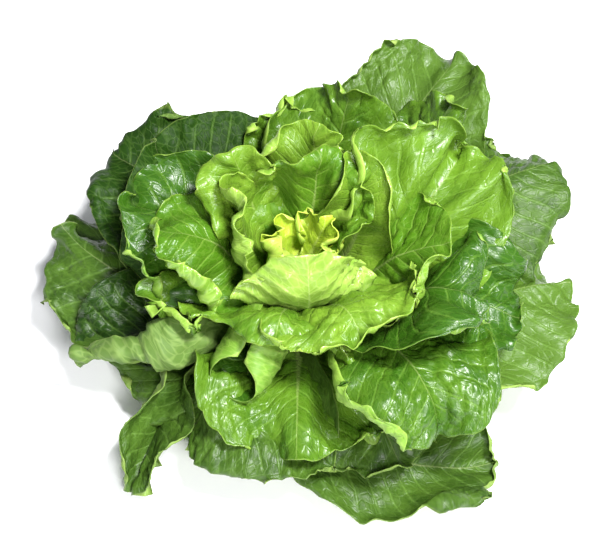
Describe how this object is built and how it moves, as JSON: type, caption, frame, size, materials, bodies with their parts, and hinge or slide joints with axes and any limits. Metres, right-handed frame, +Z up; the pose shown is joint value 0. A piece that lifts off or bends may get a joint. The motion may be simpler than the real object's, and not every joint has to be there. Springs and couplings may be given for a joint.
{
  "type": "romaine lettuce head",
  "caption": "Open head of broad, waved, blistered leaves in rings round a pale heart, standing on its cut stem.",
  "frame": {"origin": "centre of the cut face under the stem", "axes": "+Z up along the stem, +X to the head's right seen from the front, -Y to its front"},
  "size_m": [0.3113, 0.2751, 0.1378],
  "materials": {
    "stem": "cut stem, pale green-white, matt, browned at the cut",
    "heart": "young yellow-green leaves, waxy",
    "inner_leaf": "light green leaf, glossy and blistered, with a pale rib",
    "middle_leaf": "mid green leaf, glossy and blistered, with a pale rib",
    "outer_leaf": "dark green leaf, glossy above and dull beneath, with a pale rib"
  },
  "bodies": {
    "root": {"stem": "stem", "heart": "heart", "inner_leaf_back": "inner_leaf", "inner_leaf_front": "inner_leaf", "inner_leaf_right": "inner_leaf", "inner_leaf_left": "inner_leaf", "inner_leaf_back_left": "inner_leaf", "inner_leaf_front_right": "inner_leaf", "inner_leaf_front_left": "inner_leaf", "inner_leaf_far_back": "inner_leaf", "inner_leaf_far_left": "inner_leaf", "inner_leaf_far_right": "inner_leaf", "middle_leaf_right_back": "middle_leaf", "middle_leaf_front_left": "middle_leaf", "middle_leaf_right": "middle_leaf", "middle_leaf_left": "middle_leaf", "middle_leaf_back": "middle_leaf", "middle_leaf_front_right": "middle_leaf", "middle_leaf_front": "middle_leaf", "middle_leaf_far_right": "middle_leaf", "middle_leaf_back_left": "middle_leaf", "middle_leaf_far_back": "middle_leaf", "middle_leaf_front_rolled": "middle_leaf", "outer_leaf_back": "outer_leaf", "outer_leaf_back_left": "outer_leaf", "outer_leaf_right_back": "outer_leaf", "outer_leaf_left_front": "outer_leaf", "outer_leaf_left": "outer_leaf", "outer_leaf_right": "outer_leaf", "outer_leaf_front": "outer_leaf", "outer_leaf_front_far_right": "outer_leaf", "outer_leaf_far_back_left": "outer_leaf", "outer_leaf_front_left": "outer_leaf", "outer_leaf_far_left": "outer_leaf", "outer_leaf_front_right": "outer_leaf"}
  },
  "joints": []
}
